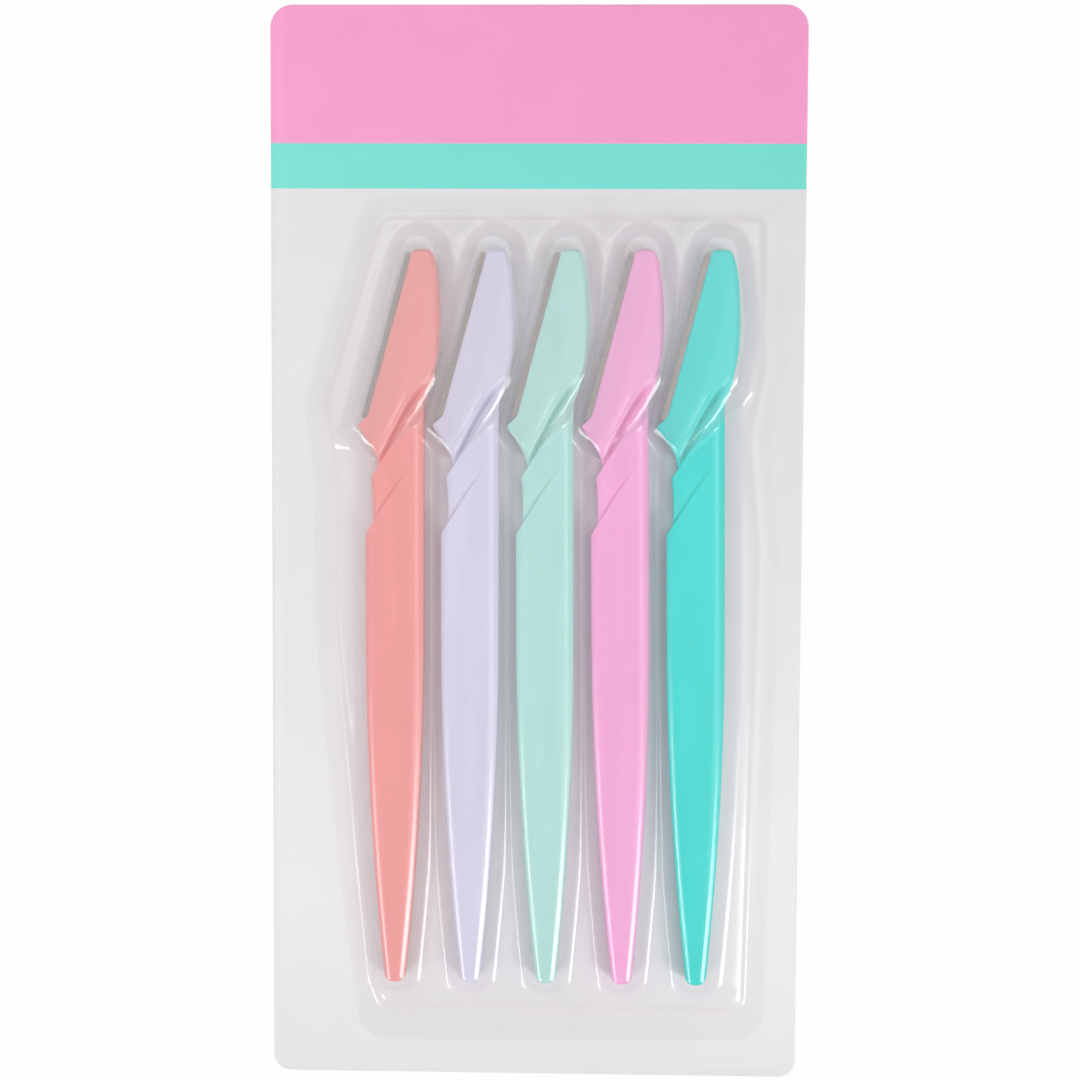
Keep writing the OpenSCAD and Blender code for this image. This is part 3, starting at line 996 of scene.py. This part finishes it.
def flange_span(y):
    """Left and right end of the flange at a height on the card."""
    ends = []
    for start, end in zip(flange_outline, np.roll(flange_outline, -1, axis=0)):
        if min(start[1], end[1]) <= y <= max(start[1], end[1]) and abs(end[1] - start[1]) > 1e-9:
            ends.append(start[0] + (y - start[1]) / (end[1] - start[1]) * (end[0] - start[0]))
    return min(ends), max(ends)


def attribute_node(nodes, name):
    """A number that the mesh carries at its points."""
    attribute = nodes.new("ShaderNodeAttribute")
    attribute.attribute_name = name
    return attribute.outputs["Fac"]


def mixed(nodes, links, factor, first, second):
    """Two shaders mixed by a factor."""
    mix = nodes.new("ShaderNodeMixShader")
    for socket, output in zip(mix.inputs, (factor, first, second)):
        links.new(output, socket)
    return mix.outputs["Shader"]


def clear_plastic():
    """Thin clear sheet: seen straight through from above, glossy on its walls, and painted a little darker
    and mauve there as shade.
    """
    material, nodes, links, surface = new_material("clear_sheet")
    nodes.remove(surface)
    ripple = noise_node(nodes, links, place_node(nodes, links), 0.35, 1.5)
    normal = bump_node(nodes, links, ripple, 0.35, 0.05)
    facing = nodes.new("ShaderNodeLayerWeight")
    facing.inputs["Blend"].default_value = 0.5
    links.new(normal, facing.inputs["Normal"])
    through = nodes.new("ShaderNodeBsdfTransparent")
    # Painted shade: darker, mauve see-through colour where the sheet is seen slantwise.
    wall_shade_colour = mix_node(nodes, links, facing.outputs["Facing"], (1, 1, 1, 1), painted_wall_shade)
    links.new(wall_shade_colour, through.inputs["Color"])
    gloss = nodes.new("ShaderNodeBsdfGlossy")
    links.new(range_node(nodes, links, ripple, 0.16, 0.22), gloss.inputs["Roughness"])
    links.new(normal, gloss.inputs["Normal"])
    steep = math_node(nodes, links, "POWER", facing.outputs["Facing"], 5.0)
    shine = nodes.new("ShaderNodeMapRange")
    shine.inputs["To Min"].default_value = sheet_shine
    shine.inputs["To Max"].default_value = sheet_side_shine
    links.new(steep, shine.inputs["Value"])
    outer = attribute_node(nodes, "outer")
    shown = math_node(nodes, links, "MULTIPLY", shine.outputs["Result"], outer)
    haze = nodes.new("ShaderNodeBsdfDiffuse")
    hazy = mixed(nodes, links, attribute_node(nodes, "haze"), through.outputs["BSDF"], haze.outputs["BSDF"])
    whole = mixed(nodes, links, shown, hazy, gloss.outputs["BSDF"])
    links.new(whole, nodes["Material Output"].inputs["Surface"])
    return material


def blister_mesh():
    """The sheet's outer face on a grid that follows the pockets, its inner face, and the cut edge."""
    low, high = flange_outline[:, 1].min() + 1e-4, flange_outline[:, 1].max() - 1e-4
    tail_y, tip_y = set_y, set_y + razor_l
    arc = [flange_r * (1 - math.sin(math.radians(turn))) for turn in range(90, 0, -12)]
    rows = spread((low + step_in, 0), (step_low_y - 0.9, 2), (step_low_y + 0.8, 7), (tail_y + 3.0, 20),
                  (tail_y + 98, 34), (tail_y + 105, 7), (tail_y + 127, 60), (tail_y + 146, 24),
                  (tip_y + 5.4, 22), (high - step_in + 0.8, 9))
    rows = [low + a for a in arc if a < step_in - 0.3] + rows
    rows += [high - a for a in arc[::-1] if a < step_in - 0.9]
    x = np.array([row_of_sheet(y) for y in rows])
    y = np.repeat(np.array(rows)[:, None], x.shape[1], axis=1)
    z = sheet_height(x, y)
    step = 0.02
    slope_x = (sheet_height(x + step, y) - sheet_height(x - step, y)) / (2 * step)
    slope_y = (sheet_height(x, y + step) - sheet_height(x, y - step)) / (2 * step)
    length = np.sqrt(slope_x ** 2 + slope_y ** 2 + 1)
    outer = np.stack((x, y, z), axis=2).reshape(-1, 3)
    inner = np.stack((x + slope_x / length * sheet_t, y + slope_y / length * sheet_t,
                      z - sheet_t / length), axis=2).reshape(-1, 3)
    count, across = x.shape
    top = ring_faces(count, across, closed=False)
    faces = top + [tuple(k + count * across for k in face[::-1]) for face in top]
    rim = list(range(across)) + [row * across + across - 1 for row in range(1, count)]
    rim += [(count - 1) * across + column for column in range(across - 2, -1, -1)]
    rim += [row * across for row in range(count - 2, 0, -1)]
    for here, there in zip(rim, rim[1:] + rim[:1]):
        faces.append((there, here, here + count * across, there + count * across))
    mesh = mesh_of("clear_blister", np.concatenate((outer, inner)), faces, 60)
    haze = (drawn_haze * ease(z, channel["top"], lobe["top"] - 0.4)
            + wall_haze * ease(np.hypot(slope_x, slope_y), 0.4, 1.6)).ravel()
    for name, values in (("outer", [1.0] * len(outer) + [0.0] * len(inner)), ("haze", list(haze) * 2)):
        mesh.attributes.new(name, "FLOAT", "POINT").data.foreach_set("value", values)
    return mesh


add_piece("clear_blister", blister_mesh(), clear_plastic(), "blister", "clear_sheet", "blister_shell")


# Floor, light and camera
# The pack lies on its back on a white floor and is seen from above, a little from its header's side.
# Two boxes on the left and one on the right draw the bright lines on the sheet's bends, and two
# nearer ones fill in the rest. The floor and the boxes are measured in metres.
floor = bpy.data.objects.new("floor", bpy.data.meshes.new("floor"))
floor_half = 2.5
floor_glow = 0.945
floor_corners = [(x * floor_half, y * floor_half, 0) for x, y in ((-1, -1), (1, -1), (1, 1), (-1, 1))]
floor.data.from_pydata(floor_corners, [], [(0, 1, 2, 3)])
scene.collection.objects.link(floor)


def seen_by_camera(nodes, links):
    """1 for a ray that the camera sees straight, in gloss or through a surface."""
    path = nodes.new("ShaderNodeLightPath")
    total = path.outputs["Is Camera Ray"]
    for ray in ("Is Glossy Ray", "Is Transmission Ray"):
        total = math_node(nodes, links, "ADD", total, path.outputs[ray])
        total.node.use_clamp = True
    return total


def white_floor():
    """A matt floor that shows nearly white and still keeps a faint shadow."""
    material, nodes, links, surface = new_material("white_floor")
    surface.inputs["Base Color"].default_value = (0.82, 0.82, 0.82, 1)
    surface.inputs["Roughness"].default_value = 0.9
    glow = nodes.new("ShaderNodeEmission")
    weight = math_node(nodes, links, "MULTIPLY", seen_by_camera(nodes, links), floor_glow)
    whole = mixed(nodes, links, weight, surface.outputs["BSDF"], glow.outputs["Emission"])
    links.new(whole, nodes["Material Output"].inputs["Surface"])
    return material


floor.data.materials.append(white_floor())

world = bpy.data.worlds.new("studio")
scene.world = world
world.use_nodes = True
sky, sky_links = world.node_tree.nodes, world.node_tree.links
room_light = sky["Background"]
room_light.inputs["Strength"].default_value = 0.37
backdrop = sky.new("ShaderNodeBackground")
for shader in (room_light, backdrop):
    shader.inputs["Color"].default_value = (1, 1, 1, 1)
either = mixed(sky, sky_links, seen_by_camera(sky, sky_links),
               room_light.outputs["Background"], backdrop.outputs["Background"])
sky_links.new(either, sky["World Output"].inputs["Surface"])


def frame_matrix(right, up, back, place):
    """Matrix of a lamp or camera from its three axes and its place."""
    rows = [[right[k], up[k], back[k], place[k]] for k in range(3)]
    return Matrix(rows + [[0, 0, 0, 1]])


def soft_box(name, place, size, power):
    """A rectangular lamp that faces the middle of the card."""
    lamp = bpy.data.lights.new(name, "AREA")
    lamp.shape = "RECTANGLE"
    lamp.size, lamp.size_y = size
    lamp.energy = power
    box = bpy.data.objects.new(name, lamp)
    scene.collection.objects.link(box)
    forward = -np.array(place) / np.linalg.norm(place)
    side = np.cross(forward, (0, 0, 1.0))
    side = side / np.linalg.norm(side)
    box.matrix_world = frame_matrix(side, np.cross(side, forward), -forward, place)


soft_boxes = (
    ("left_strip", (-2.52, -1.3, 2.17), (1.2, 0.38), 18.0),
    ("left_box", (-1.93, -2.01, 2.17), (0.8, 0.75), 19.5),
    ("right_box", (2.52, -1.47, 2.17), (1.1, 1.3), 46.0),
    ("high_box", (0.52, 0.1, 1.3), (1.0, 0.7), 2.8),
    ("top_box", (-0.5, 0.7, 0.65), (1.0, 1.0), 3.4))
for values in soft_boxes:
    soft_box(*values)

eye = np.array((12.379, 29.770, 407.307))
aim = np.array((0.7995, 1.7437, 0.0))
roll = 0.00507
frame_pixels = 1080
focal_pixels = 2000
ahead = (aim - eye) / np.linalg.norm(aim - eye)
level = np.cross(ahead, (0, 1.0, 0))
level = level / np.linalg.norm(level)
upright = np.cross(level, ahead)
right_axis = level * math.cos(roll) + upright * math.sin(roll)
up_axis = upright * math.cos(roll) - level * math.sin(roll)
camera = bpy.data.objects.new("camera", bpy.data.cameras.new("camera"))
camera.data.sensor_width = 36.0
camera.data.lens = camera.data.sensor_width * focal_pixels / frame_pixels
camera.matrix_world = frame_matrix(right_axis, up_axis, -ahead, eye * MM)
scene.collection.objects.link(camera)
scene.camera = camera
scene.view_settings.view_transform = "Standard"
